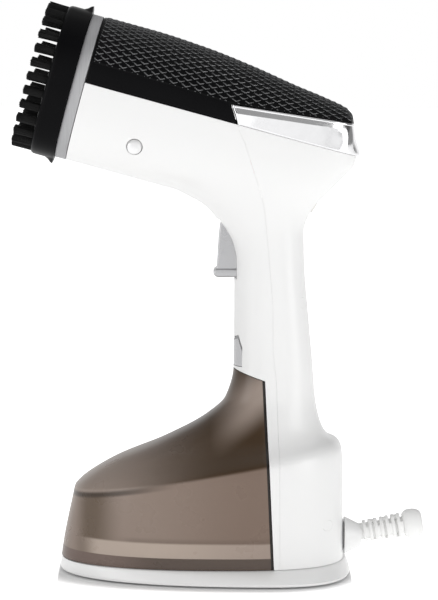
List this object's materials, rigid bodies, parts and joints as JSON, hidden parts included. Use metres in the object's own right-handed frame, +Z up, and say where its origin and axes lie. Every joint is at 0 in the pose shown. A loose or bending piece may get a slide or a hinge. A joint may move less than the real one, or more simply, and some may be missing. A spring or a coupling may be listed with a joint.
{
  "type": "garment steamer",
  "caption": "Upright handheld garment steamer: tilted oval steam head with bristle brush, trigger grip, smoked water tank at the foot and a swivelling cord exit.",
  "frame": {"origin": "on the resting plane, under the middle of the base", "axes": "+Z up; +X towards the cord, so the steam head and brush face -X; +Y across the width, towards the tank's filler cap"},
  "size_m": [0.2291, 0.108, 0.3129],
  "materials": {
    "white_plastic": "semi-gloss",
    "white_rubber": "satin",
    "black_cover": "moulded texture of small raised chevrons",
    "chrome_trim": "bright plated plastic",
    "satin_metal": "satin",
    "steel": "plain",
    "plate_aluminium": "polished face",
    "cast_aluminium": "as cast",
    "silicone": "soft",
    "heater_sheath": "heat-tinted",
    "ceramic": "ceramic",
    "phenolic": "matt",
    "fuse_tube": "glossy",
    "red_wire": "insulated wire",
    "silver_plastic": "silver paint, satin",
    "red_plastic": "glossy",
    "circuit_board": "board with parts",
    "clear_lens": "milky, translucent",
    "pump_body": "matt",
    "hose": "translucent silicone",
    "grey_plastic": "matt",
    "smoked_plastic": "clear smoked brown, glossy",
    "tank_insert": "clear smoked brown, lighter",
    "cap_plastic": "soft, dark brown",
    "seal_rubber": "matt",
    "brush_plastic": "satin black",
    "bristle": "bundled nylon bristles",
    "base_grey": "matt",
    "pad_rubber": "matt"
  },
  "bodies": {
    "body": {"front_shell": "white_plastic", "rear_shell": "white_plastic", "top_cover": "black_cover", "rear_trim": "chrome_trim", "head_band": "satin_metal", "side_screws": "steel", "steam_plate": "plate_aluminium", "plate_seal": "silicone", "boiler": "cast_aluminium", "heating_element": "heater_sheath", "terminal_block": "ceramic", "thermostat": "phenolic", "thermal_fuse": "fuse_tube", "fuse_clip": "steel", "boiler_screws": "steel", "sensor_screws": "steel", "boiler_lead": "red_wire", "trigger_pin": "steel", "trigger_spring": "steel", "trigger_switch": "phenolic", "release_spring": "steel", "control_board": "circuit_board", "pilot_lens": "clear_lens", "water_pump": "pump_body", "suction_hose": "hose", "feed_hose": "hose", "inlet_socket": "grey_plastic", "swivel_socket": "grey_plastic", "cord_clamp": "grey_plastic", "clamp_screws": "steel", "base_tray": "white_plastic", "base_plate": "base_grey", "base_pad": "pad_rubber", "base_screws": "steel", "body_screws": "steel", "screw_plugs": "white_plastic"},
    "trigger": {"trigger": "silver_plastic"},
    "plunger": {"switch_plunger": "red_plastic"},
    "button": {"release_button": "silver_plastic"},
    "tank": {"tank_shell": "smoked_plastic", "tank_floor": "tank_insert", "tank_valve": "grey_plastic", "valve_seal": "seal_rubber", "filler_pin": "steel"},
    "cap": {"filler_cap": "cap_plastic"},
    "brush": {"brush_frame": "brush_plastic", "bristle_tufts": "bristle"},
    "swivel": {"swivel_housing": "white_plastic", "swivel_ring": "steel", "strain_relief": "white_rubber"}
  },
  "joints": [
    {"name": "trigger_press", "type": "hinge", "parent": "body", "child": "trigger", "pos_m": [0.0166, 0, 0.1902], "axis": [0, -1, 0], "range_deg": [0, 6], "stiffness_Nm_per_rad": 0.6, "springref_deg": -4.58, "deforming": ["trigger_spring"]},
    {"name": "plunger_press", "type": "slide", "parent": "body", "child": "plunger", "axis": [1, 0, 0], "range_m": [0, 0.0016]},
    {"name": "button_press", "type": "slide", "parent": "body", "child": "button", "axis": [1, 0, 0], "range_m": [0, 0.003], "stiffness_N_per_m": 600, "springref_m": -0.003, "deforming": ["release_spring"]},
    {"name": "tank_release", "type": "slide", "parent": "body", "child": "tank", "axis": [-1, 0, 0], "range_m": [0, 0.12]},
    {"name": "filler_cap_hinge", "type": "hinge", "parent": "tank", "child": "cap", "pos_m": [-0.008, 0.0469, 0.0435], "axis": [1, 0, 0], "range_deg": [0, 110]},
    {"name": "brush_release", "type": "slide", "parent": "body", "child": "brush", "axis": [-0.9659, 0, 0.2588], "range_m": [0, 0.03]},
    {"name": "cord_swivel", "type": "hinge", "parent": "body", "child": "swivel", "pos_m": [0.078, 0, 0.019], "axis": [1, 0, 0], "range_deg": [-170, 170]}
  ],
  "couplings": [
    {"joint": "plunger_press", "follows": "trigger_press", "m_per_rad": 0.0142}
  ]
}
